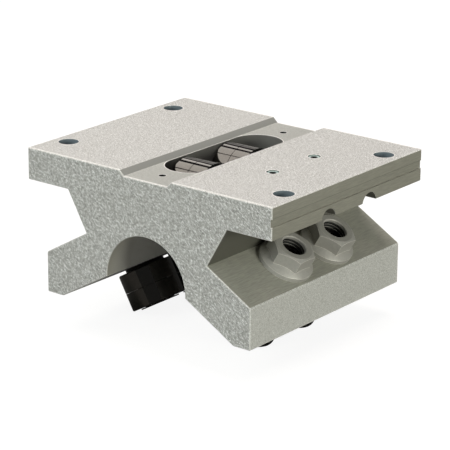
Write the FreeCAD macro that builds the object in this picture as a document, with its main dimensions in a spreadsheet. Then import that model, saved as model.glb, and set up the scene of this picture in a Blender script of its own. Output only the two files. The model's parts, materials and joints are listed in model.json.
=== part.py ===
import FreeCAD, Part
import math
import os
import re
import Sketcher

Vector = FreeCAD.Vector
Rotation = FreeCAD.Rotation
Placement = FreeCAD.Placement

doc = FreeCAD.newDocument("PillowBlock")
sheet = doc.addObject("Spreadsheet::Sheet", "Sizes")

# Sizes in millimetres and degrees. Text that starts with = is worked out from the others.
sizes = {
    # Guided shaft and the housing around it
    "shaftRadius": "12.7",
    "shaftDrop": "30.16",
    "blockWidth": "82.55",
    "blockLength": "66.675",
    "halfWidth": "=blockWidth / 2",
    "flangeThickness": "8.93",
    "nutWallGap": "0.26981",
    "notchWall": "12.8",
    "legTopLength": "16.45",
    "legUnder": "6.38572",
    "toeWidth": "5.55092",
    "archGap": "0.7",
    "archRadius": "=shaftRadius + archGap",
    "channelTopHalf": "8.78",
    "channelFloorHalf": "7.24",
    "channelDepth": "1.44",
    "edgeBreak": "0.2",
    # Window for the two top rollers
    "slotHalf": "7.16",
    "slotArcOut": "14.2",
    # Mounting holes and small holes
    "boltInsetX": "4.7625",
    "boltInsetY": "11.1125",
    "boltSpacingX": "=blockWidth - 2 * boltInsetX",
    "boltSpacingY": "=blockLength - 2 * boltInsetY",
    "boltHoleRadius": "2.8",
    "dowelOut": "26.2",
    "dowelHoleRadius": "1.0",
    "dowelDepth": "4.0",
    # Reference groove along the right edge
    "grooveTop": "3.15",
    "grooveHeight": "2.25",
    "grooveDepth": "0.4",
    # Ball bearings, two side by side on every axle
    "boreRadius": "3.175",
    "ringRadius": "7.9375",
    "ringWidth": "5.35",
    "innerRingRadius": "4.3",
    "shieldGap": "0.08",
    "shieldRadius": "=innerRingRadius + shieldGap",
    "ringSideGap": "0.1",
    # Where the axles lie round the shaft
    "stationHalf": "9.1",
    "studLean": "30",
    "axleOut": "=shaftRadius + ringRadius",
    "topAxleDrop": "=shaftDrop - axleOut",
    "studOut": "=axleOut * cos(studLean)",
    "studDrop": "=shaftDrop + axleOut * sin(studLean)",
    # Top axles, their washers and spacers
    "topWasherRadius": "5.6",
    "topWasherThickness": "0.61",
    "topPackLow": "=-slotHalf + topWasherThickness",
    "topPackMid": "=topPackLow + ringWidth",
    "topPackHigh": "=topPackMid + ringWidth",
    "spacerRadius": "4.75",
    "axleFit": "0.025",
    "axleHoleRadius": "=boreRadius + axleFit",
    "axleLeftEnd": "16.0",
    "axleRightEnd": "26.0",
    "axleEndGap": "0.3",
    "axleBlind": "=axleLeftEnd + axleEndGap",
    "axleLength": "=axleLeftEnd + axleRightEnd",
    # Set screws that hold the top axles
    "screwOut": "23.1",
    "screwRadius": "1.75",
    "screwSink": "0.5",
    "screwTip": "=topAxleDrop - boreRadius",
    "screwLength": "=screwTip - screwSink",
    "screwSocketFlats": "1.6",
    "screwSocketDepth": "2.0",
    # Corners of the notch and the leg: the notch wall stands clear of the nuts, along the lean of the studs
    "notchWallOut": "=axleOut - nutFlangeRadius - nutWallGap",
    "notchTopHalf": "=(notchWallOut + (shaftDrop - flangeThickness) * sin(studLean)) / cos(studLean)",
    "notchInnerX": "=notchTopHalf - notchWall * sin(studLean)",
    "notchInnerDrop": "=flangeThickness + notchWall * cos(studLean)",
    "legOuterX": "=notchInnerX + legTopLength * cos(studLean)",
    "legOuterDrop": "=notchInnerDrop + legTopLength * sin(studLean)",
    "legTopLevel": "=notchInnerX * sin(studLean) - notchInnerDrop * cos(studLean)",
    "legUnderLevel": "=legUnder - shaftDrop * cos(studLean)",
    "legThickness": "=legTopLevel - legUnderLevel",
    "legToeX": "=legOuterX - toeWidth",
    "legBottom": "=(legToeX * sin(studLean) - legUnderLevel) / cos(studLean)",
    "archFootDrop": "=(archRadius * sin(studLean) - legUnderLevel) / cos(studLean)",
    # Lower studs, their washers and nuts, measured along the stud from the shaft's level
    "nutSeat": "=legUnder + legThickness",
    "washerRadius": "5.6",
    "washerThickness": "0.88",
    "washerLow": "=legUnder - washerThickness",
    "lowPackMid": "=washerLow - ringWidth",
    "lowPackLow": "=lowPackMid - ringWidth",
    "studFit": "0.1",
    "studHoleRadius": "=boreRadius + studFit",
    "nutHeight": "6.2",
    "nutFlats": "11.11",
    "nutFlangeRadius": "7.6",
    "nutFlangeEdge": "0.9",
    "nutFlangeRise": "2.3",
    "headRadius": "5.6",
    "headThickness": "0.35",
    "studReach": "3.4",
    "studTop": "=nutSeat + studReach",
    "studLength": "=studTop - lowPackLow",
    "studSocketFlats": "3.175",
    "studSocketDepth": "2.4",
}
for line, (name, value) in enumerate(sizes.items(), start=1):
    sheet.set(f"A{line}", name)
    sheet.setAlias(f"B{line}", name)
    sheet.set(f"B{line}", value)
doc.recompute()

names = {name: f"Sizes.{name}" for name in sizes}
parts = []
near = 0.001


# Turn plain names into references to the sheet
def bound(text):
    return re.sub(r"[A-Za-z]+", lambda word: names.get(word[0], word[0]), text)


# Set one property from the sheet
def tie(item, path, text):
    item.setExpression(path, bound(text))


# Value of an expression, for the first position of a sketch point
def valueOf(text):
    return float(sheet.evalExpression(text))


# New body in the document
def newBody(name):
    body = doc.addObject("PartDesign::Body", name)
    body.Label = name
    parts.append(body)
    return body


# Sketch on one of the body's own origin planes, lifted off it where height is given
def newSketch(body, name, plane, height=None):
    sketch = body.newObject("Sketcher::SketchObject", f"{body.Name}_{name}")
    support = [item for item in body.Origin.OriginFeatures if item.Role == plane][0]
    sketch.AttachmentSupport = [(support, "")]
    sketch.MapMode = "FlatFace"
    if height is not None:
        tie(sketch, "AttachmentOffset.Base.z", height)
    return sketch


# Hold one sketch point at a place given by two expressions
def pin(sketch, geometry, end, across, along):
    for kind, text, axis in (("DistanceX", across, -2), ("DistanceY", along, -1)):
        if text == "0":
            sketch.addConstraint(Sketcher.Constraint("PointOnObject", geometry, end, axis))
        else:
            number = sketch.addConstraint(
                Sketcher.Constraint(kind, -1, 1, geometry, end, valueOf(text))
            )
            tie(sketch, f"Constraints[{number}]", text)


# Closed outline with straight sides
def outline(sketch, corners):
    points = [Vector(valueOf(across), valueOf(along), 0) for across, along in corners]
    count = len(points)
    for number, point in enumerate(points):
        sketch.addGeometry(Part.LineSegment(point, points[(number + 1) % count]), False)
    for number, (across, along) in enumerate(corners):
        before = (number - 1) % count
        sketch.addConstraint(Sketcher.Constraint("Coincident", before, 2, number, 1))
        pin(sketch, number, 1, across, along)


# Circles of one radius
def circles(sketch, places, radius):
    for across, along in places:
        middle = Vector(valueOf(across), valueOf(along), 0)
        ring = Part.Circle(middle, Vector(0, 0, 1), valueOf(radius))
        number = sketch.addGeometry(ring, False)
        pin(sketch, number, 3, across, along)
        size = sketch.addConstraint(Sketcher.Constraint("Radius", number, valueOf(radius)))
        tie(sketch, f"Constraints[{size}]", radius)


# Hexagon about the sketch origin, given across its flats, with two corners on the sketch's Y axis
def hexagon(sketch, flats):
    radius = f"{flats} / sqrt(3)"
    reach = valueOf(radius)
    turns = [math.radians(90 + 60 * step) for step in range(7)]
    points = [Vector(reach * math.cos(turn), reach * math.sin(turn), 0) for turn in turns]
    for start, end in zip(points, points[1:]):
        sketch.addGeometry(Part.LineSegment(start, end), False)
    guide = sketch.addGeometry(Part.Circle(Vector(0, 0, 0), Vector(0, 0, 1), reach), True)
    pin(sketch, guide, 3, "0", "0")
    size = sketch.addConstraint(Sketcher.Constraint("Radius", guide, reach))
    tie(sketch, f"Constraints[{size}]", radius)
    for side in range(6):
        sketch.addConstraint(Sketcher.Constraint("Coincident", (side - 1) % 6, 2, side, 1))
        sketch.addConstraint(Sketcher.Constraint("PointOnObject", side, 1, guide))
    for side in range(1, 6):
        sketch.addConstraint(Sketcher.Constraint("Equal", 0, side))
    sketch.addConstraint(Sketcher.Constraint("PointOnObject", 0, 1, -2))


# Pad or pocket of a given length; both ways from the sketch where even is set
def extrude(body, kind, sketch, length, even=False, turned=False):
    before = body.Shape.Volume if kind == "Pocket" else 0
    feature = body.newObject(f"PartDesign::{kind}", f"{sketch.Name}_{kind}")
    feature.Profile = sketch
    feature.Type = 0
    feature.SideType = "Symmetric" if even else "One side"
    feature.Reversed = turned
    tie(feature, "Length", length)
    body.Tip = feature
    doc.recompute()
    if kind == "Pocket" and body.Shape.Volume > before - 0.01:
        raise RuntimeError(f"{feature.Name} cuts nothing")


# Turn a section once round the body's own Z axis
def turnSection(body, name, corners):
    sketch = newSketch(body, name, "XZ_Plane")
    outline(sketch, corners)
    feature = body.newObject("PartDesign::Revolution", f"{sketch.Name}_Revolution")
    feature.Profile = sketch
    feature.ReferenceAxis = (sketch, ["V_Axis"])
    feature.Angle = 360
    body.Tip = feature
    doc.recompute()


# The three rows of rollers: place of each axle and its turn about Y
rows = {
    "top": ("0", "-topAxleDrop", "90"),
    "right": ("studOut", "-studDrop", "studLean"),
    "left": ("-studOut", "-studDrop", "-studLean"),
}
ends = {"front": "-stationHalf", "rear": "stationHalf"}


# Put a body on the axle of one row, with its own Z along that axle
def station(body, row, end):
    across, drop, turn = rows[row]
    body.Placement = Placement(Vector(0, 0, 0), Rotation(Vector(0, 1, 0), valueOf(turn)))
    tie(body, "Placement.Base.x", across)
    tie(body, "Placement.Base.y", ends[end])
    tie(body, "Placement.Base.z", drop)


# Section of the housing: channel, flanges, notches, legs and the arch over the shaft
def housingSection(sketch):
    half = [
        ("channelFloorHalf", "-channelDepth"),
        ("channelTopHalf", "0"),
        ("halfWidth", "0"),
        ("halfWidth", "-flangeThickness"),
        ("notchTopHalf", "-flangeThickness"),
        ("notchInnerX", "-notchInnerDrop"),
        ("legOuterX", "-legOuterDrop"),
        ("legOuterX", "-legBottom"),
        ("legToeX", "-legBottom"),
        ("archRadius", "-archFootDrop"),
        ("archRadius", "-shaftDrop"),
    ]
    right = [Vector(valueOf(across), valueOf(along), 0) for across, along in half]
    left = [Vector(-point.x, point.y, 0) for point in right]
    last = len(half) - 1
    for start, end in zip(right, right[1:]):
        sketch.addGeometry(Part.LineSegment(start, end), False)
    middle = Vector(0, -valueOf("shaftDrop"), 0)
    arch = Part.Circle(middle, Vector(0, 0, 1), valueOf("archRadius"))
    sketch.addGeometry(Part.ArcOfCircle(arch, 0, math.pi), False)
    for start, end in zip(left[::-1], left[::-1][1:]):
        sketch.addGeometry(Part.LineSegment(start, end), False)
    sketch.addGeometry(Part.LineSegment(left[0], right[0]), False)
    count = sketch.GeometryCount
    for number in range(count):
        sketch.addConstraint(
            Sketcher.Constraint("Coincident", number, 2, (number + 1) % count, 1)
        )
    height = Sketcher.Constraint("DistanceY", -1, 1, last, 3, middle.y)
    tie(sketch, f"Constraints[{sketch.addConstraint(height)}]", "-shaftDrop")
    for number, (across, along) in enumerate(half[:last]):
        pin(sketch, number, 1, across, along)
        mirrored = count - 1 - number
        sketch.addConstraint(Sketcher.Constraint("Symmetric", number, 1, mirrored, 1, -2))
    pin(sketch, last, 1, *half[last])
    sketch.addConstraint(Sketcher.Constraint("Symmetric", last, 1, last, 2, -2))


# Obround window through the channel floor
def slotOutline(sketch):
    reach = valueOf("slotHalf")
    out = valueOf("slotArcOut")
    up = Vector(0, 0, 1)
    sketch.addGeometry(Part.LineSegment(Vector(reach, -out, 0), Vector(reach, out, 0)), False)
    farArc = Part.Circle(Vector(0, out, 0), up, reach)
    sketch.addGeometry(Part.ArcOfCircle(farArc, 0, math.pi), False)
    sketch.addGeometry(Part.LineSegment(Vector(-reach, out, 0), Vector(-reach, -out, 0)), False)
    nearArc = Part.Circle(Vector(0, -out, 0), up, reach)
    sketch.addGeometry(Part.ArcOfCircle(nearArc, math.pi, 2 * math.pi), False)
    for number in range(4):
        sketch.addConstraint(
            Sketcher.Constraint("Tangent", number, 2, (number + 1) % 4, 1)
        )
    pin(sketch, 1, 3, "0", "slotArcOut")
    pin(sketch, 3, 3, "0", "-slotArcOut")
    sketch.addConstraint(Sketcher.Constraint("Equal", 1, 3))
    size = sketch.addConstraint(Sketcher.Constraint("Radius", 1, reach))
    tie(sketch, f"Constraints[{size}]", "slotHalf")


# One-piece housing with all its holes
def makeHousing():
    body = newBody("housing")
    section = newSketch(body, "section", "XZ_Plane")
    housingSection(section)
    extrude(body, "Pad", section, "blockLength", even=True)

    breakEdges(body, "outerCorners", onOuterCorner)
    breakEdges(body, "endFaces", onEndFace)

    groove = newSketch(body, "edgeGroove", "XZ_Plane")
    inner = "halfWidth - grooveDepth"
    outer = "halfWidth + grooveDepth"
    low = "-grooveTop - grooveHeight"
    outline(groove, [(inner, low), (outer, low), (outer, "-grooveTop"), (inner, "-grooveTop")])
    extrude(body, "Pocket", groove, "blockLength + shaftRadius", even=True)

    slot = newSketch(body, "slot", "XY_Plane")
    slotOutline(slot)
    extrude(body, "Pocket", slot, "shaftDrop")

    bolts = newSketch(body, "bolts", "XY_Plane")
    acrossPair = ("boltSpacingX / 2", "-boltSpacingX / 2")
    alongPair = ("boltSpacingY / 2", "-boltSpacingY / 2")
    places = [(across, along) for across in acrossPair for along in alongPair]
    circles(bolts, places, "boltHoleRadius")
    extrude(body, "Pocket", bolts, "flangeThickness + edgeBreak")

    dowels = newSketch(body, "dowels", "XY_Plane", "-channelDepth")
    circles(dowels, [("0", "dowelOut"), ("0", "-dowelOut")], "dowelHoleRadius")
    extrude(body, "Pocket", dowels, "dowelDepth")

    axles = newSketch(body, "axles", "YZ_Plane", "-axleBlind")
    heights = "-topAxleDrop"
    circles(axles, [("stationHalf", heights), ("-stationHalf", heights)], "axleHoleRadius")
    extrude(body, "Pocket", axles, "axleBlind + halfWidth + axleEndGap", turned=True)

    screws = newSketch(body, "screws", "XY_Plane")
    circles(screws, [("screwOut", "stationHalf"), ("screwOut", "-stationHalf")], "screwRadius")
    extrude(body, "Pocket", screws, "topAxleDrop")

    for side in ("right", "left"):
        across, drop, turn = rows[side]
        studs = newSketch(body, f"{side}Studs", "XY_Plane")
        studs.AttachmentOffset = Placement(
            Vector(valueOf(across), 0, valueOf(drop)),
            Rotation(Vector(0, 1, 0), valueOf(turn)),
        )
        tie(studs, "AttachmentOffset.Base.x", across)
        tie(studs, "AttachmentOffset.Base.z", drop)
        circles(studs, [("0", "stationHalf"), ("0", "-stationHalf")], "studHoleRadius")
        extrude(body, "Pocket", studs, "2 * nutSeat + 2 * studFit", even=True)


# Small chamfer on the edges that a test picks out
def breakEdges(body, name, picks):
    chosen = [
        f"Edge{number}"
        for number, edge in enumerate(body.Shape.Edges, start=1)
        if picks(edge.BoundBox)
    ]
    carrier = body.Tip
    chamfer = body.newObject("PartDesign::Chamfer", f"housing_{name}")
    chamfer.Base = (carrier, chosen)
    tie(chamfer, "Size", "edgeBreak")
    body.Tip = chamfer
    doc.recompute()
    if "Invalid" in chamfer.State:
        raise RuntimeError(f"{chamfer.Name} is {chamfer.State}")


# Long edge on one of the outer corners of the section
def onOuterCorner(box):
    corners = [
        ("halfWidth", "0"),
        ("halfWidth", "-flangeThickness"),
        ("legOuterX", "-legOuterDrop"),
        ("legOuterX", "-legBottom"),
        ("legToeX", "-legBottom"),
    ]
    return box.YLength > valueOf("blockLength / 2") and any(
        abs(abs(box.Center.x) - valueOf(across)) < near
        and abs(box.Center.z - valueOf(along)) < near
        for across, along in corners
    )


# Edge of a front or rear end face
def onEndFace(box):
    flat = box.YLength < near
    return flat and abs(abs(box.Center.y) - valueOf("blockLength / 2")) < near


# Plain ring between two levels along its axle
def makeCollar(name, row, end, bore, rim, low, high):
    body = newBody(name)
    turnSection(body, "section", [(bore, low), (rim, low), (rim, high), (bore, high)])
    station(body, row, end)


# Two shielded bearings on one axle: their outer rings turn, their inner rings are clamped together
def makeBearingPair(row, end, low, mid, high):
    for number, (start, stop) in enumerate(((low, mid), (mid, high)), start=1):
        name = f"outer_ring_{row}_{end}_{number}"
        bottom = f"{start} + ringSideGap"
        top = f"{stop} - ringSideGap"
        makeCollar(name, row, end, "shieldRadius", "ringRadius", bottom, top)
    name = f"inner_rings_{row}_{end}"
    makeCollar(name, row, end, "boreRadius", "innerRingRadius", low, high)


# Top axle with its washer and spacer
def makeTopRoller(end):
    axle = newBody(f"top_axle_{end}")
    sketch = newSketch(axle, "circle", "XY_Plane", "-axleLeftEnd")
    circles(sketch, [("0", "0")], "boreRadius")
    extrude(axle, "Pad", sketch, "axleLength")
    station(axle, "top", end)
    makeBearingPair("top", end, "topPackLow", "topPackMid", "topPackHigh")
    washer = f"top_washer_{end}"
    makeCollar(washer, "top", end, "boreRadius", "topWasherRadius", "-slotHalf", "topPackLow")
    spacer = f"top_spacer_{end}"
    makeCollar(spacer, "top", end, "boreRadius", "spacerRadius", "topPackHigh", "slotHalf")


# Set screw pressed on a top axle
def makeSetScrew(end):
    body = newBody(f"set_screw_{end}")
    sketch = newSketch(body, "circle", "XY_Plane", "-screwTip")
    circles(sketch, [("screwOut", ends[end])], "screwRadius")
    extrude(body, "Pad", sketch, "screwLength")
    socket = newSketch(body, "socket", "XY_Plane", "-screwSink")
    hexagon(socket, "screwSocketFlats")
    tie(socket, "AttachmentOffset.Base.x", "screwOut")
    tie(socket, "AttachmentOffset.Base.y", ends[end])
    extrude(body, "Pocket", socket, "screwSocketDepth")


# Stud through the leg, with a thin head under the bearings and a socket in its threaded end
def makeStud(row, end):
    body = newBody(f"stud_{row}_{end}")
    sections = (
        ("head", "lowPackLow - headThickness", "headRadius", "headThickness"),
        ("shank", "lowPackLow", "boreRadius", "studLength"),
    )
    for name, level, radius, length in sections:
        sketch = newSketch(body, name, "XY_Plane", level)
        circles(sketch, [("0", "0")], radius)
        extrude(body, "Pad", sketch, length)
    socket = newSketch(body, "socket", "XY_Plane", "studTop")
    hexagon(socket, "studSocketFlats")
    extrude(body, "Pocket", socket, "studSocketDepth")
    station(body, row, end)


# Hexagon nut on a sloping round flange
def makeNut(row, end):
    body = newBody(f"flange_nut_{row}_{end}")
    hexSketch = newSketch(body, "hexagon", "XY_Plane", "nutSeat")
    hexagon(hexSketch, "nutFlats")
    extrude(body, "Pad", hexSketch, "nutHeight")
    flange = [
        ("boreRadius", "nutSeat"),
        ("nutFlangeRadius", "nutSeat"),
        ("nutFlangeRadius", "nutSeat + nutFlangeEdge"),
        ("nutFlats / 2", "nutSeat + nutFlangeRise"),
        ("boreRadius", "nutSeat + nutFlangeRise"),
    ]
    turnSection(body, "flange", flange)
    bore = newSketch(body, "bore", "XY_Plane", "nutSeat + nutHeight")
    circles(bore, [("0", "0")], "boreRadius")
    extrude(body, "Pocket", bore, "nutHeight + axleFit")
    station(body, row, end)


# Stud, washer, bearings and nut on one leg
def makeLowerRoller(row, end):
    makeStud(row, end)
    washer = f"washer_{row}_{end}"
    makeCollar(washer, row, end, "boreRadius", "washerRadius", "washerLow", "legUnder")
    makeBearingPair(row, end, "lowPackLow", "lowPackMid", "washerLow")
    makeNut(row, end)


makeHousing()
for end in ends:
    makeTopRoller(end)
    makeSetScrew(end)
    for row in ("right", "left"):
        makeLowerRoller(row, end)
doc.recompute()

# Stop on anything unsound, then write one file for each sub-part
for item in doc.Objects:
    if "Invalid" in item.State or "Error" in item.State:
        raise RuntimeError(f"{item.Label} is {item.State}")
os.makedirs("parts", exist_ok=True)
for body in parts:
    if body.Shape.isNull() or not body.Shape.isValid():
        raise RuntimeError(f"{body.Label} has no sound shape")
    body.Shape.exportStep(f"parts/{body.Label}.step")
print(len(parts), "sub-parts written")
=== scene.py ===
import json
import math

import bmesh
import bpy
from mathutils import Matrix, Vector


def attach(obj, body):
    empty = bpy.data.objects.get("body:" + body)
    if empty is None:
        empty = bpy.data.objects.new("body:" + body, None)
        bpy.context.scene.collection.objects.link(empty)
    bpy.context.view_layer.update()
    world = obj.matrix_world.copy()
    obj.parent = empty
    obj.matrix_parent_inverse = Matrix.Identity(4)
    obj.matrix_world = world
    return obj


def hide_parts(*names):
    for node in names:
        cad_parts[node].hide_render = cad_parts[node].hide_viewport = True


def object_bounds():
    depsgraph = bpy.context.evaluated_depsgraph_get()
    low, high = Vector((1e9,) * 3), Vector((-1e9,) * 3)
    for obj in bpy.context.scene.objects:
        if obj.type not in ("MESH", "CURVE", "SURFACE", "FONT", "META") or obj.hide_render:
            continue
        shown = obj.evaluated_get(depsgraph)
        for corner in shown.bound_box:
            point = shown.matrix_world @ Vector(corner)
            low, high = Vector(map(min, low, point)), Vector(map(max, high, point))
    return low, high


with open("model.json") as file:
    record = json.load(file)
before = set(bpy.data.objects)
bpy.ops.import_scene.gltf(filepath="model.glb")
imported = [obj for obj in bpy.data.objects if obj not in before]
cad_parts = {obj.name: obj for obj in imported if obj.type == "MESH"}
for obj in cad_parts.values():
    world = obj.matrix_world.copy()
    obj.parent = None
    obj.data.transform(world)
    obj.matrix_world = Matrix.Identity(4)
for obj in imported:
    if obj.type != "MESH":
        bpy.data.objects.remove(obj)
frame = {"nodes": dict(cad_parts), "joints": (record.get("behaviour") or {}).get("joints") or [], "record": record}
cadLow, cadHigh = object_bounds()
millimetre = 0.001
far = 100.0         # in millimetres, beyond the part on every side
print("frame loaded:", len(frame["nodes"]), "nodes")


# sRGB hex to the linear values that the shaders take
def toLinear(code):
    parts = [int(code[i:i + 2], 16) / 255 for i in (1, 3, 5)]
    return tuple(p / 12.92 if p <= 0.04045 else ((p + 0.055) / 1.055) ** 2.4 for p in parts) + (1.0,)


# Adds a node with its settings and its links
def addNode(tree, kind, links=None, **settings):
    node = tree.nodes.new(kind)
    for name, value in settings.items():
        setattr(node, name, value)
    for key, value in (links or {}).items():
        socket = node.inputs[key]
        if isinstance(value, bpy.types.NodeSocket):
            tree.links.new(value, socket)
        else:
            socket.default_value = value
    return node


# Camera at the photograph's angle: degrees, lens on a frame 36 mm wide, and how far the camera stands to the
# right, up and back in its own directions, in millimetres
camera = dict(azimuth=38.249, elevation=18.498, roll=0.424, lens=177.262, frameWidth=36,
              offset=(0.016, -20.719, 596.437), nearest=0.01, farthest=20)


def makeCamera(view):
    azimuth, elevation, roll = (math.radians(view[key]) for key in ("azimuth", "elevation", "roll"))
    back = Vector((math.sin(azimuth) * math.cos(elevation), -math.cos(azimuth) * math.cos(elevation),
                   math.sin(elevation)))
    right = Vector((math.cos(azimuth), math.sin(azimuth), 0))
    up = back.cross(right)
    across = math.cos(roll) * right + math.sin(roll) * up
    upward = math.cos(roll) * up - math.sin(roll) * right
    turn = Matrix((across, upward, back)).transposed()
    data = bpy.data.cameras.new("photoCamera")
    data.lens = view["lens"]
    data.sensor_width = view["frameWidth"]
    data.clip_start, data.clip_end = view["nearest"], view["farthest"]
    rig = bpy.data.objects.new("photoCamera", data)
    rig.matrix_world = Matrix.Translation(turn @ (Vector(view["offset"]) * millimetre)) @ turn.to_4x4()
    bpy.context.collection.objects.link(rig)
    bpy.context.scene.camera = rig


makeCamera(camera)
print("camera placed")


# Empty material and its node tree, ready for a surface
def newFinish(name):
    material = bpy.data.materials.new(name)
    material.use_nodes = True
    material.node_tree.nodes.clear()
    return material, material.node_tree


# Studio: faint air light and a pale matt floor, both plain white to the camera
studio = dict(airLevel=0.1, airColour="#F4F6F4", floorSize=8.0, floorColour="#747472", floorGlow=0.9,
              white="#FFFFFF")


def makeWorld(room):
    world = bpy.data.worlds.new("studioAir")
    world.use_nodes = True
    bpy.context.scene.world = world
    tree = world.node_tree
    tree.nodes.clear()
    air = addNode(tree, "ShaderNodeBackground", {"Color": toLinear(room["airColour"]),
                  "Strength": room["airLevel"]})
    white = addNode(tree, "ShaderNodeBackground", {"Color": toLinear(room["white"]), "Strength": 1.0})
    seen = addNode(tree, "ShaderNodeLightPath").outputs["Is Camera Ray"]
    mix = addNode(tree, "ShaderNodeMixShader", {0: seen, 1: air.outputs[0], 2: white.outputs[0]})
    addNode(tree, "ShaderNodeOutputWorld", {"Surface": mix.outputs[0]})


# Floor under the lowest point: white to the camera except for the shadow, and clear from below
def makeFloor(room):
    half = room["floorSize"] / 2
    mesh = bpy.data.meshes.new("floor")
    corners = [(x * half, y * half, cadLow.z) for x, y in ((-1, -1), (1, -1), (1, 1), (-1, 1))]
    mesh.from_pydata(corners, [], [(0, 1, 2, 3)])
    floor = bpy.data.objects.new("floor", mesh)
    bpy.context.collection.objects.link(floor)
    material, tree = newFinish("paleStudioFloor")
    matt = addNode(tree, "ShaderNodeBsdfDiffuse", {"Color": toLinear(room["floorColour"])})
    glow = addNode(tree, "ShaderNodeEmission", {"Color": toLinear(room["white"]), "Strength": room["floorGlow"]})
    lifted = addNode(tree, "ShaderNodeAddShader", {0: matt.outputs[0], 1: glow.outputs[0]})
    seen = addNode(tree, "ShaderNodeLightPath").outputs["Is Camera Ray"]
    mix = addNode(tree, "ShaderNodeMixShader", {0: seen, 1: matt.outputs[0], 2: lifted.outputs[0]})
    under = addNode(tree, "ShaderNodeNewGeometry").outputs["Backfacing"]
    clear = addNode(tree, "ShaderNodeBsdfTransparent", {"Color": toLinear(room["white"])})
    oneSided = addNode(tree, "ShaderNodeMixShader", {0: under, 1: mix.outputs[0], 2: clear.outputs[0]})
    addNode(tree, "ShaderNodeOutputMaterial", {"Surface": oneSided.outputs[0]})
    mesh.materials.append(material)


# Soft boxes: middle, width and height in metres, radiance and colour. Those on the left stand in a row with
# dark gaps between them, and their reflections draw the bright bands and dark lines along the rollers.
softBoxes = dict(
    leftFront=dict(middle=(-0.587, -0.39, 0.72), size=(0.46, 0.42), radiance=3.3, colour="#FFFAF4"),
    leftMiddle=dict(middle=(-0.587, 0.135, 0.76), size=(0.43, 0.42), radiance=3.3, colour="#FFFAF4"),
    leftRear=dict(middle=(-0.587, 0.54, 0.62), size=(0.085, 0.42), radiance=3.0, colour="#FFFAF4"),
    backHigh=dict(middle=(-0.62, 0.84, 0.40), size=(0.70, 0.14), radiance=0.7, colour="#FFF8F2"),
    backLow=dict(middle=(-0.62, 0.84, 0.16), size=(0.70, 0.22), radiance=0.55, colour="#FFF8F2"),
    overhead=dict(middle=(0.10, 0.10, 1.0), size=(0.5, 0.5), radiance=7.6, colour="#FFF2F0"),
    front=dict(middle=(-0.15, -1.1, 0.45), size=(0.6, 0.6), radiance=6.5, colour="#F6FAF7"),
    right=dict(middle=(1.16, -0.12, 0.14), size=(0.6, 0.36), radiance=12.7, colour="#FFFFF4"),
)


def makeSoftBoxes(boxes):
    for name, box in boxes.items():
        away = Vector(box["middle"])
        data = bpy.data.lights.new(name, "AREA")
        data.shape = "RECTANGLE"
        data.size, data.size_y = box["size"]
        data.energy = box["radiance"] * math.pi * data.size * data.size_y
        data.color = toLinear(box["colour"])[:3]
        lamp = bpy.data.objects.new(name, data)
        lamp.visible_camera = False
        lamp.matrix_world = Matrix.Translation(away) @ away.to_track_quat("Z", "Y").to_matrix().to_4x4()
        bpy.context.collection.objects.link(lamp)


makeWorld(studio)
makeFloor(studio)
makeSoftBoxes(softBoxes)
bpy.context.scene.view_settings.view_transform = "Standard"
print("studio lit:", len(softBoxes), "soft boxes")


# Blasted aluminium looks matt and grey with short bright flecks that all slant the same way. The real grit
# marks are about 0.1 mm wide and are drawn 0.16 mm wide, so that they show. Sizes are in millimetres; a band
# gives the noise levels between which a mark fades in.
housingFinish = dict(
    base="#C1C2BE", fleck="#F6F8F6", pit="#8D8E89",
    roughness=0.62, metallic=0.18, bump=0.012, bumpStrength=0.5,
    fleckSize=0.16, fleckSlant=40, fleckStretch=4.0, fleckBand=(0.52, 0.63),
    grainSize=0.5, pitBand=(0.56, 0.34),
    sideCalm=0.45,                           # share of the flecks lost on the two sides
    milled="#97978E", milledLine="#A9A99D",  # milled notches: darker, with fine lines along the block
    lineSize=0.22, lineLength=3.0, lineBand=(0.38, 0.66),
    rim="#F4F4F0", rimWidth=0.2,             # bare metal round holes and on worn edges, plus a painted highlight there and on the window rim
    wornHighlightWidth=0.35, wornHighlightShare=0.9, lipHighlightWidth=0.6,
    wallSkin=0.03, topSkin=0.02,             # how far a coloured area reaches past its wall and its top
)

# Areas of the housing with a colour: how far from the middle and at which levels they lie, and the share of
# the colour where it only tints. The milled notches and the channel floor have a colour of their own, the notch
# walls and the channel walls carry painted shade, the flange sides are darker, and a painted shade line marks
# the upper edge of the reference groove, which is on the right side only.
housingAreas = dict(
    notch=dict(across=(20.3, 42.0), levels=(-28.1, -0.25)),
    # painted shade on the notch walls under the flanges
    notchWall=dict(across=(20.3, 42.0), levels=(-20.4, -9.0), colour="#5B5B52"),
    channelFloor=dict(across=(-1.0, 8.5), levels=(-1.6, -1.3), colour="#A6A9A2", share=0.7),
    # painted shade on the sloping channel walls
    channelWallShade=dict(across=(7.0, 9.0), levels=(-1.42, -0.02), colour="#90928E"),
    flangeSide=dict(across=(40.6, 42.0), levels=(-8.8, -0.2), colour="#77766B", share=0.5),
    # painted shade line along the upper edge of the reference groove
    grooveShadeLine=dict(across=(40.6, 42.0), levels=(-3.25, -3.05), colour="#6A6A62"),
)

# Window in the channel: half width, how far along the centres of its round ends lie, and painted shade on
# its wall, which turns to an almost black painted shadow at the front end
window = dict(reach=7.16, centre=14.2, levels=(-18.0, -1.5), wall="#70706C", end="#2E2E2B",
              endShadowAlong=(-8.0, -15.0))

# Bores of the top axles: drilled walls painted dark as shade
axleBore = dict(along=9.1, level=9.5225, radius=3.33, across=(8.0, 41.2), wall="#77776F")

# Arch over the shaft: machined roof painted pale as painted light, with painted shade darkening it towards
# both ends
arch = dict(level=-30.1625, radius=13.5, across=(-20.0, 6.0), paintedLightRoof="#F6F6F0", mouth="#ACAAA0",
            mouthShadeAlong=(23.0, 33.3))

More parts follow.
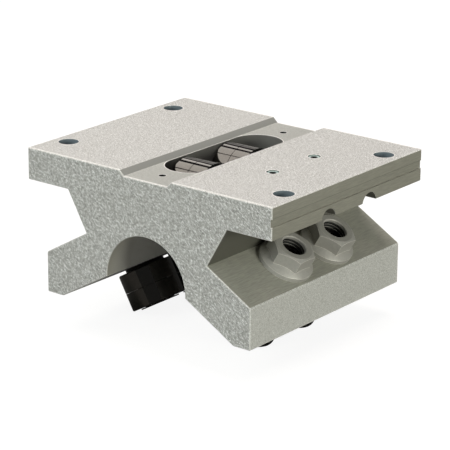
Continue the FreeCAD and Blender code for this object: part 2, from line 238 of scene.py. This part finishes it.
# Holes in the top: place across and along, with both signs of each, radius, levels where they start and end,
# colour of the wall, painted dark as shade inside the hole, share of the bright rim, bare metal that the drill
# leaves with a painted highlight, and the place across where they start
topHoles = dict(
    bolt=dict(across=36.5125, along=22.225, radius=2.8, high=0.0, low=-9.5, wall="#76838A", rim=0.5, start=-far),
    dowel=dict(across=0.0, along=26.2, radius=1.0, high=-1.44, low=-6.0, wall="#1B1B1A", rim=0.0, start=-far),
    screw=dict(across=23.1, along=9.1, radius=1.75, high=0.0, low=-12.0, wall="#3F5552", rim=1.0, start=0),
)


# Place on the part in millimetres
def addPlace(tree):
    place = addNode(tree, "ShaderNodeTexCoord").outputs["Object"]
    return addNode(tree, "ShaderNodeVectorMath", {0: place, "Scale": 1 / millimetre}, operation="SCALE").outputs[0]


# Distance from a point, measured in one plane only
def addDistance(tree, place, plane, point):
    flat = addNode(tree, "ShaderNodeVectorMath", {0: place, 1: plane}, operation="MULTIPLY").outputs[0]
    return addNode(tree, "ShaderNodeVectorMath", {0: flat, 1: point}, operation="DISTANCE").outputs["Value"]


# Area that is one where every value lies between its two limits, and zero elsewhere
def addArea(tree, *limits):
    area = 1.0
    for value, low, high in limits:
        within = addNode(tree, "ShaderNodeMath", {0: value, 1: (low + high) / 2, 2: (high - low) / 2},
                         operation="COMPARE").outputs[0]
        area = addNode(tree, "ShaderNodeMath", {0: area, 1: within}, operation="MULTIPLY").outputs[0]
    return area


# Colour laid over another in an area, by the product of its shares; a colour is hex or a socket
def addCoat(tree, under, over, *shares):
    cover = 1.0
    for share in shares:
        cover = addNode(tree, "ShaderNodeMath", {0: cover, 1: share}, operation="MULTIPLY").outputs[0]
    lower, upper = (toLinear(value) if isinstance(value, str) else value for value in (under, over))
    return addNode(tree, "ShaderNodeMix", {0: cover, 6: lower, 7: upper}, data_type="RGBA").outputs[2]


# Blasted ground: pits, and flecks drawn out along one slant; gives the colour and the height of the flecks
def addBlasted(tree, place, look):
    slant = math.radians(look["fleckSlant"])
    slanted = addNode(tree, "ShaderNodeMapping", {"Vector": place, "Rotation": (0, slant, 0),
                      "Scale": (look["fleckStretch"], 1, 1)}, vector_type="TEXTURE").outputs[0]
    flecks = addNode(tree, "ShaderNodeTexNoise", {"Vector": slanted, "Scale": 1 / look["fleckSize"], "Detail": 1.0,
                     "Roughness": 0.5, "Distortion": 0.3}).outputs["Fac"]
    grain = addNode(tree, "ShaderNodeTexNoise", {"Vector": place, "Scale": 1 / look["grainSize"], "Detail": 4.0,
                    "Roughness": 0.75}).outputs["Fac"]
    bright, dark = (addNode(tree, "ShaderNodeMapRange", {"Value": marks, "From Min": band[0], "From Max": band[1]})
                    for marks, band in ((flecks, look["fleckBand"]), (grain, look["pitBand"])))
    ground = addCoat(tree, look["base"], look["pit"], dark.outputs[0])
    return addCoat(tree, ground, look["fleck"], bright.outputs[0]), flecks


# Milled ground with fine lines along the block
def addMilled(tree, place, look):
    stretch = (1 / look["lineSize"], 1 / look["lineLength"], 1 / look["lineSize"])
    drawn = addNode(tree, "ShaderNodeVectorMath", {0: place, 1: stretch}, operation="MULTIPLY").outputs[0]
    lines = addNode(tree, "ShaderNodeTexNoise", {"Vector": drawn, "Scale": 1.0, "Detail": 3.0}).outputs["Fac"]
    share = addNode(tree, "ShaderNodeMapRange", {"Value": lines, "From Min": look["lineBand"][0],
                    "From Max": look["lineBand"][1]}).outputs[0]
    return addCoat(tree, look["milled"], look["milledLine"], share)


# Share of bright edge over so many millimetres: bare metal where handling wears the finish off, and a painted
# highlight; a higher fade gives it a harder border
def addWornHighlight(tree, width, fade=9.0):
    rounded = addNode(tree, "ShaderNodeBevel", {"Radius": width * millimetre}, samples=6).outputs[0]
    facing = addNode(tree, "ShaderNodeNewGeometry").outputs["Normal"]
    match = addNode(tree, "ShaderNodeVectorMath", {0: rounded, 1: facing}, operation="DOT_PRODUCT").outputs["Value"]
    bend = addNode(tree, "ShaderNodeMath", {0: 1.0, 1: match}, operation="SUBTRACT").outputs[0]
    return addNode(tree, "ShaderNodeMath", {0: bend, 1: fade}, operation="MULTIPLY", use_clamp=True).outputs[0]


def makeHousingFinish(look):
    material, tree = newFinish("blastedAluminium")
    place = addPlace(tree)
    normal = addNode(tree, "ShaderNodeNewGeometry").outputs["Normal"]
    unsigned = [addNode(tree, "ShaderNodeVectorMath", {0: vector}, operation="ABSOLUTE").outputs[0]
                for vector in (place, normal)]
    here, facing, out, tilt = (addNode(tree, "ShaderNodeSeparateXYZ", {0: vector}).outputs
                               for vector in (place, normal, *unsigned))

    # which way a face looks: not to the ends, steeply or fully to a side, up or not up
    lengthwise = (tilt["Y"], -far, 0.5)
    steep, sideways = (tilt["X"], 0.7, far), (tilt["X"], 0.95, far)
    upward, notUpward = (facing["Z"], 0.9, far), (facing["Z"], -far, 0.9)

    def within(name, *limits, across=out["X"]):
        area = housingAreas[name]
        return addArea(tree, (across, *area["across"]), (here["Z"], *area["levels"]), *limits)

    # blasted and milled ground
    colour, flecks = addBlasted(tree, place, look)
    colour = addCoat(tree, colour, look["base"], addArea(tree, sideways), look["sideCalm"])
    notch = within("notch", lengthwise)
    colour = addCoat(tree, colour, addMilled(tree, place, look), notch)
    channelFloor = within("channelFloor", upward)
    # painted shade on the notch walls, the channel walls and the groove's upper edge; darker flange sides
    painted = (("notchWall", within("notchWall", lengthwise, steep)),
               ("channelFloor", channelFloor),
               ("channelWallShade", within("channelWallShade", lengthwise, notUpward)),
               ("flangeSide", within("flangeSide", lengthwise)),
               ("grooveShadeLine", within("grooveShadeLine", lengthwise, across=here["X"])))
    for name, area in painted:
        colour = addCoat(tree, colour, housingAreas[name]["colour"], area, housingAreas[name].get("share", 1.0))

    # window: painted shade on its wall, a painted shadow at its front end and a painted highlight on its rim
    beyond = addNode(tree, "ShaderNodeVectorMath", {0: unsigned[0], 1: (0, window["centre"], 0)},
                     operation="SUBTRACT").outputs[0]
    beyond = addNode(tree, "ShaderNodeVectorMath", {0: beyond, 1: (0, 0, 0)}, operation="MAXIMUM").outputs[0]
    away = addDistance(tree, beyond, (1, 1, 0), (0, 0, 0))
    windowWallShadeArea = addArea(tree, (away, -far, window["reach"] + look["wallSkin"]), (here["Z"], *window["levels"]),
                       notUpward)
    endShadowShare = addNode(tree, "ShaderNodeMapRange", {"Value": here["Y"], "From Min": window["endShadowAlong"][0],
                    "From Max": window["endShadowAlong"][1]}).outputs[0]
    colour = addCoat(tree, colour, window["wall"], windowWallShadeArea)
    colour = addCoat(tree, colour, window["end"], windowWallShadeArea, endShadowShare)
    # painted highlight round the window's rim on the channel floor
    rimHighlightArea = addArea(tree, (away, window["reach"] - look["wallSkin"], window["reach"] + look["rimWidth"]))
    colour = addCoat(tree, colour, look["rim"], rimHighlightArea, channelFloor)

    # painted shade in the bores of the top axles, then in the holes in the top, with their bright rims
    away = addDistance(tree, unsigned[0], (0, 1, 1), (0, axleBore["along"], axleBore["level"]))
    boreShadeArea = addArea(tree, (away, -far, axleBore["radius"]), (here["X"], *axleBore["across"]))
    colour = addCoat(tree, colour, axleBore["wall"], boreShadeArea)
    for hole in topHoles.values():
        away = addDistance(tree, unsigned[0], (1, 1, 0), (hole["across"], hole["along"], 0))
        high, side = hole["high"], (here["X"], hole["start"], far)
        holeShadeArea = addArea(tree, (away, -far, hole["radius"] + look["wallSkin"]),
                         (here["Z"], hole["low"], high - look["topSkin"]), side)
        # bright rim: bare drilled metal with a painted highlight
        ring = addArea(tree, (away, hole["radius"], hole["radius"] + look["rimWidth"]),
                       (here["Z"], high - look["topSkin"], high + look["topSkin"]), side)
        colour = addCoat(tree, colour, hole["wall"], holeShadeArea)
        colour = addCoat(tree, colour, look["rim"], ring, hole["rim"])

    # roof of the arch: painted light, with painted shade towards both ends
    away = addDistance(tree, place, (1, 0, 1), (0, 0, arch["level"]))
    archPaintedLightArea = addArea(tree, (away, -far, arch["radius"]), (here["X"], *arch["across"]), lengthwise)
    mouthShadeShare = addNode(tree, "ShaderNodeMapRange", {"Value": out["Y"], "From Min": arch["mouthShadeAlong"][0],
                      "From Max": arch["mouthShadeAlong"][1]}).outputs[0]
    colour = addCoat(tree, colour, addCoat(tree, arch["paintedLightRoof"], arch["mouth"], mouthShadeShare), archPaintedLightArea)

    # edges worn bright outside the notches, with a painted highlight, and a painted highlight on the two lips of
    # the top
    blasted = addNode(tree, "ShaderNodeMath", {0: 1.0, 1: notch}, operation="SUBTRACT").outputs[0]
    wornHighlight = addNode(tree, "ShaderNodeMath", {0: addWornHighlight(tree, look["wornHighlightWidth"]), 1: blasted}, operation="MULTIPLY")
    blockEnd = cadHigh.y / millimetre
    lipHighlightArea = addArea(tree, (out["Y"], blockEnd - look["lipHighlightWidth"], blockEnd + look["lipHighlightWidth"]), upward)
    wornHighlight = addNode(tree, "ShaderNodeMath", {0: wornHighlight.outputs[0], 1: lipHighlightArea}, operation="MAXIMUM").outputs[0]
    colour = addCoat(tree, colour, look["rim"], wornHighlight, look["wornHighlightShare"])

    bump = addNode(tree, "ShaderNodeBump", {"Height": flecks, "Strength": look["bumpStrength"],
                   "Distance": look["bump"] * millimetre})
    surface = addNode(tree, "ShaderNodeBsdfPrincipled", {"Base Color": colour, "Metallic": look["metallic"],
                      "Roughness": look["roughness"], "Normal": bump.outputs[0]})
    addNode(tree, "ShaderNodeOutputMaterial", {"Surface": surface.outputs[0]})
    return material


# Steel finishes. A scratch is the width in millimetres of the soft marks that the wheel leaves; real ones are
# far finer and are drawn this coarse so that they show.
steelFinishes = dict(
    # ground and blackened rings: dark mirrors that show the soft boxes as bands
    bearing_steel=dict(name="blackenedBearingSteel", base="#54524F", rough=0.07, metallic=1.0, scratch=0.7),
    # ground axles and shield wires: dark, with a soft gloss
    axle_steel=dict(name="groundAxleSteel", base="#2E2B29", rough=0.28, metallic=1.0, scratch=1.0),
    # oiled black washers, and the nut threads made black as painted shade in the nut bores: hardly a reflection
    washer_steel=dict(name="blackenedWasherSteelAndShadedThread", base="#10120F", rough=0.5, metallic=0.2, scratch=1.6),
    # zinc-plated nuts: pale satin, brighter on the edges, where they are worn and a highlight is painted
    nut_steel=dict(name="zincPlatedSteel", base="#B2B1AB", rough=0.45, metallic=0.3, scratch=0.6,
                   wornHighlight="#F2EEE8", wornHighlightWidth=0.22),
    # plated set screws: pale cup, and painted shade that makes the socket black below its rim
    screw_steel=dict(name="platedScrewSteel", base="#B4C9C4", rough=0.35, metallic=0.3, scratch=1.2,
                     socket="#101514", socketShadeLevel=-0.27),
)

# How the marks on steel sway its roughness and its shade: noise levels, then factors at both ends
steelMarks = dict(band=(0.3, 0.7), rough=(0.8, 1.25), shade=(0.92, 1.06))


def makeSteelFinish(look, marks):
    material, tree = newFinish(look["name"])
    place = addPlace(tree)
    noise = addNode(tree, "ShaderNodeTexNoise", {"Vector": place, "Scale": 1 / look["scratch"], "Detail": 3.0,
                    "Roughness": 0.6}).outputs["Fac"]
    low, high = marks["band"]
    rough, shade = (addNode(tree, "ShaderNodeMapRange", {"Value": noise, "From Min": low, "From Max": high,
                            "To Min": level * ends[0], "To Max": level * ends[1]}).outputs[0]
                    for level, ends in ((look["rough"], marks["rough"]), (1.0, marks["shade"])))
    colour = addNode(tree, "ShaderNodeVectorMath", {0: toLinear(look["base"])[:3], "Scale": shade},
                     operation="SCALE").outputs[0]
    # worn edges, with a painted highlight
    if "wornHighlight" in look:
        colour = addCoat(tree, colour, look["wornHighlight"], addWornHighlight(tree, look["wornHighlightWidth"]))
    # painted shade: black below the socket level, in the socket and down the sides
    if "socket" in look:
        here = addNode(tree, "ShaderNodeSeparateXYZ", {0: place}).outputs
        colour = addCoat(tree, colour, look["socket"], addArea(tree, (here["Z"], -far, look["socketShadeLevel"])))
    surface = addNode(tree, "ShaderNodeBsdfPrincipled", {"Base Color": colour, "Metallic": look["metallic"],
                      "Roughness": rough})
    addNode(tree, "ShaderNodeOutputMaterial", {"Surface": surface.outputs[0]})
    return material


finishes = {"housing_aluminium": makeHousingFinish(housingFinish)}
for name, look in steelFinishes.items():
    finishes[name] = makeSteelFinish(look, steelMarks)
for subpart in frame["record"]["subparts"]:
    for slot in frame["nodes"][subpart["node"]].material_slots:
        slot.material = finishes[subpart["material_slot"]]
print("finishes applied:", len(finishes))

creaseAngle = math.radians(24)      # faces that meet at a wider angle keep a sharp edge


# Smooth shading with sharp edges, and the finish where the mesh has none yet
def finishMesh(mesh, material=None):
    mesh.shade_smooth()
    mesh.set_sharp_from_angle(angle=creaseAngle)
    if material:
        mesh.materials.append(material)


# New piece from rings of points, each joined to the next: the last ring joins the first, or both ends are capped
def makeFromRings(name, rings, place, material, capped=False):
    count = len(rings[0])
    points = [place @ (Vector(point) * millimetre) for ring in rings for point in ring]
    faces = []
    if capped:
        faces = [tuple(range(count)), tuple(range((len(rings) - 1) * count, len(rings) * count))]
    for row in range(len(rings) - 1 if capped else len(rings)):
        nextRow = (row + 1) % len(rings)
        for step in range(count):
            nextStep = (step + 1) % count
            faces.append((row * count + step, row * count + nextStep,
                          nextRow * count + nextStep, nextRow * count + step))
    mesh = bpy.data.meshes.new(name)
    mesh.from_pydata(points, [], faces)
    shape = bmesh.new()
    shape.from_mesh(mesh)
    bmesh.ops.recalc_face_normals(shape, faces=shape.faces)
    shape.to_mesh(mesh)
    shape.free()
    finishMesh(mesh, material)
    piece = bpy.data.objects.new(name, mesh)
    bpy.context.collection.objects.link(piece)
    return piece


# Rings of points round Z for an outline; a radius or a height is one number, or a list with one for each point
def turnedRings(outline, count):
    turns = [2 * math.pi * step / count for step in range(count)]
    rings = []
    for pair in outline:
        radii, heights = (value if isinstance(value, list) else [value] * count for value in pair)
        rings.append([(radius * math.cos(turn), radius * math.sin(turn), height)
                      for turn, radius, height in zip(turns, radii, heights)])
    return rings


# Distance from the middle of a hexagon to its rim at each step of a turn, with two corners on Y
def hexReach(flat, count):
    turns = [2 * math.pi * step / count for step in range(count)]
    return [flat / math.cos((turn + math.pi / 6) % (math.pi / 3) - math.pi / 6) for turn in turns]


# Frame at a place, with its Z along an axle and its Y along the guided shaft
def placeOn(position, axis):
    along = Vector(axis).normalized()
    forward = Vector((0, 1, 0))
    turn = Matrix((forward.cross(along), forward, along)).transposed()
    return Matrix.Translation(position) @ turn.to_4x4()


# Outer bearing rings: chamfered rims, and on the free side a sunk shield that a wire ring holds. Sizes in
# millimetres; the shield has a corner at its seat, is slightly dished and ends in a lip at the bore.
outerRing = dict(radius=7.9375, halfWidth=2.575, innerReach=2.64, chamfer=0.25, seamChamfer=0.05, seat=6.55,
                 sink=0.32, cornerRun=0.1, cornerRise=0.02, dish=0.03, lipRun=0.3, lipFall=0.12, bore=4.40,
                 wire=0.16, wireSink=0.05, wireSides=8, steps=128)


def makeOuterRing(joint, ring):
    body = joint["child"]
    node = frame["record"]["behaviour"]["bodies"][body][0]
    place = placeOn(joint["pos_m"], joint["axis"])
    outward = -1 if node.endswith("_1") else 1
    outer, seat, bore, wire = ring["radius"], ring["seat"], ring["bore"], ring["wire"]
    half, seam = ring["halfWidth"], -ring["innerReach"]
    sunk = half - ring["sink"]
    section = [(bore, seam), (outer - ring["seamChamfer"], seam), (outer, seam + ring["seamChamfer"]),
               (outer, half - ring["chamfer"]), (outer - ring["chamfer"], half), (seat, half),
               (seat, sunk + ring["cornerRise"]), (seat - ring["cornerRun"], sunk),
               (bore + ring["lipRun"], sunk - ring["dish"]), (bore, sunk - ring["lipFall"])]
    turns = [2 * math.pi * side / ring["wireSides"] for side in range(ring["wireSides"])]
    wireSection = [(seat - wire * (1 + math.cos(turn)), sunk + wire * (1 + math.sin(turn)) - ring["wireSink"])
                   for turn in turns]
    for kind, finish, outline in (("bearing", "bearing_steel", section),
                                  ("shieldWire", "axle_steel", wireSection)):
        rings = turnedRings([(radius, outward * height) for radius, height in outline], ring["steps"])
        piece = makeFromRings(node.replace("outer_ring", kind), rings, place, finishes[finish])
        if kind == "bearing":
            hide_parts(node)
        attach(piece, body)


for joint in frame["joints"]:
    makeOuterRing(joint, outerRing)

lowerStuds = [(row, end) for row in ("right", "left") for end in ("front", "rear")]
rollerToNut = 18.9299       # from the middle of a roller pair to the nut's seat, along the stud


# Point on a lower stud where its nut sits, and the stud's axis, from the roller joints
def nutSeat(row, end):
    rollers = [joint for joint in frame["joints"] if joint["name"].startswith(f"turn_{row}_{end}")]
    axis = Vector(rollers[0]["axis"]).normalized()
    middle = (Vector(rollers[0]["pos_m"]) + Vector(rollers[1]["pos_m"])) / 2
    return middle + axis * (rollerToNut * millimetre), axis


# Hexagon flange nuts: crown cut by a cone, sloping flange, countersunk mouth; sizes in millimetres
flangeNut = dict(flats=11.11, height=6.2, crown=5.15, crownSlope=28, flange=7.6, foot=0.1, edge=1.35,
                 edgeRound=0.12, rise=2.5, bore=3.36, mouth=3.58, mouthDepth=0.16, steps=96)


def makeFlangeNut(row, end, nut):
    reach = hexReach(nut["flats"] / 2, nut["steps"])
    top, flange, edge = nut["height"], nut["flange"], nut["edge"]
    slope = (nut["rise"] - edge) / (flange - nut["flats"] / 2)
    fall = math.tan(math.radians(nut["crownSlope"]))
    outline = [
        (nut["bore"], 0), (flange - nut["foot"], 0), (flange, nut["foot"]),
        (flange, edge - nut["edgeRound"]), (flange - nut["edgeRound"], edge),
        (reach, [edge + (flange - radius) * slope for radius in reach]),
        (reach, [top - max(0, radius - nut["crown"]) * fall for radius in reach]),
        (nut["crown"], top), (nut["mouth"], top), (nut["bore"], top - nut["mouthDepth"]),
    ]
    piece = makeFromRings(f"flangeNut_{row}_{end}", turnedRings(outline, nut["steps"]), placeOn(*nutSeat(row, end)),
                          finishes["nut_steel"])
    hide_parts(f"flange_nut_{row}_{end}")
    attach(piece, "block")


for row, end in lowerStuds:
    makeFlangeNut(row, end, flangeNut)
print("flange nuts made:", len(lowerStuds))

# Thread in the mouth of each nut: one turn repeated up the bore; sizes in millimetres
nutThread = dict(pitch=0.907, root=3.4, crest=3.2, start=2.8, turns=3, steps=48)


# One turn of a thread ridge that rises by one pitch
def makeTurn(name, thread):
    half = thread["pitch"] / 2
    section = [(thread["root"], -half), (thread["crest"], 0.0), (thread["root"], half)]
    count = len(section)
    points = []
    for step in range(thread["steps"] + 1):
        turn = 2 * math.pi * step / thread["steps"]
        rise = thread["pitch"] * step / thread["steps"]
        points += [(radius * math.cos(turn), radius * math.sin(turn), height + rise) for radius, height in section]
    faces = []
    for step in range(thread["steps"]):
        for corner in range(count):
            here, there = step * count + corner, step * count + (corner + 1) % count
            faces.append((here, here + count, there + count, there))
    mesh = bpy.data.meshes.new(name)
    mesh.from_pydata([Vector(point) * millimetre for point in points], [], faces)
    piece = bpy.data.objects.new(name, mesh)
    bpy.context.collection.objects.link(piece)
    return piece


# Node group that repeats a turn along Z, joins the copies and gives them one finish
def makeRepeater():
    group = bpy.data.node_groups.new("repeatedTurns", "GeometryNodeTree")
    for name, kind in (("Turn", "NodeSocketGeometry"), ("Copies", "NodeSocketInt"), ("Pitch", "NodeSocketFloat"),
                       ("Finish", "NodeSocketMaterial")):
        group.interface.new_socket(name, in_out="INPUT", socket_type=kind)
    group.interface.new_socket("Thread", in_out="OUTPUT", socket_type="NodeSocketGeometry")
    given = addNode(group, "NodeGroupInput").outputs
    step = addNode(group, "ShaderNodeCombineXYZ", {"Z": given["Pitch"]})
    row = addNode(group, "GeometryNodeMeshLine", {"Count": given["Copies"], "Offset": step.outputs[0]})
    copies = addNode(group, "GeometryNodeInstanceOnPoints", {"Points": row.outputs[0], "Instance": given["Turn"]})
    real = addNode(group, "GeometryNodeRealizeInstances", {0: copies.outputs[0]})
    joined = addNode(group, "GeometryNodeMergeByDistance", {"Geometry": real.outputs[0],
                     "Distance": 0.001 * millimetre})
    finished = addNode(group, "GeometryNodeSetMaterial", {"Geometry": joined.outputs[0],
                       "Material": given["Finish"]})
    addNode(group, "NodeGroupOutput", {"Thread": finished.outputs[0]})
    return group


def makeNutThread(row, end, group, thread):
    seat, axis = nutSeat(row, end)
    piece = makeTurn(f"nutThread_{row}_{end}", thread)
    repeat = piece.modifiers.new("repeat", "NODES")
    repeat.node_group = group
    # the thread takes the black washer finish as painted shade in the nut bore
    wanted = {"Copies": thread["turns"], "Pitch": thread["pitch"] * millimetre, "Finish": finishes["washer_steel"]}
    for item in group.interface.items_tree:
        if item.name in wanted:
            repeat[item.identifier] = wanted[item.name]
    shown = piece.evaluated_get(bpy.context.evaluated_depsgraph_get())
    mesh = bpy.data.meshes.new_from_object(shown)
    piece.modifiers.remove(repeat)
    mesh.transform(placeOn(seat + axis * (thread["start"] * millimetre), axis))
    finishMesh(mesh)
    piece.data = mesh
    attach(piece, "block")


threadGroup = makeRepeater()
for row, end in lowerStuds:
    makeNutThread(row, end, threadGroup, nutThread)
print("nut threads made:", len(lowerStuds))

# Set screws: rounded cup with a hexagon socket in a sloping rim; sizes in millimetres
setScrew = dict(across=23.1, along=9.1, top=-0.2, low=-6.35, radius=1.72, chamfer=0.22, flats=1.6, socket=2.0,
                rim=1.15, rimFall=0.12, steps=96)


def makeSetScrew(end, side, screw):
    hexRim = hexReach(screw["flats"] / 2, screw["steps"])
    top, low, radius, chamfer = screw["top"], screw["low"], screw["radius"], screw["chamfer"]
    outline = [(hexRim, top - screw["socket"]), (hexRim, top - screw["rimFall"]), (screw["rim"], top),
               (radius - chamfer, top), (radius, top - chamfer), (radius, low + chamfer), (radius - chamfer, low)]
    place = Matrix.Translation(Vector((screw["across"], side * screw["along"], 0)) * millimetre)
    piece = makeFromRings(f"setScrew_{end}", turnedRings(outline, screw["steps"]), place, finishes["screw_steel"],
                          capped=True)
    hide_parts(f"set_screw_{end}")
    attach(piece, "block")


for end, side in (("front", -1), ("rear", 1)):
    makeSetScrew(end, side, setScrew)
print("set screws made")
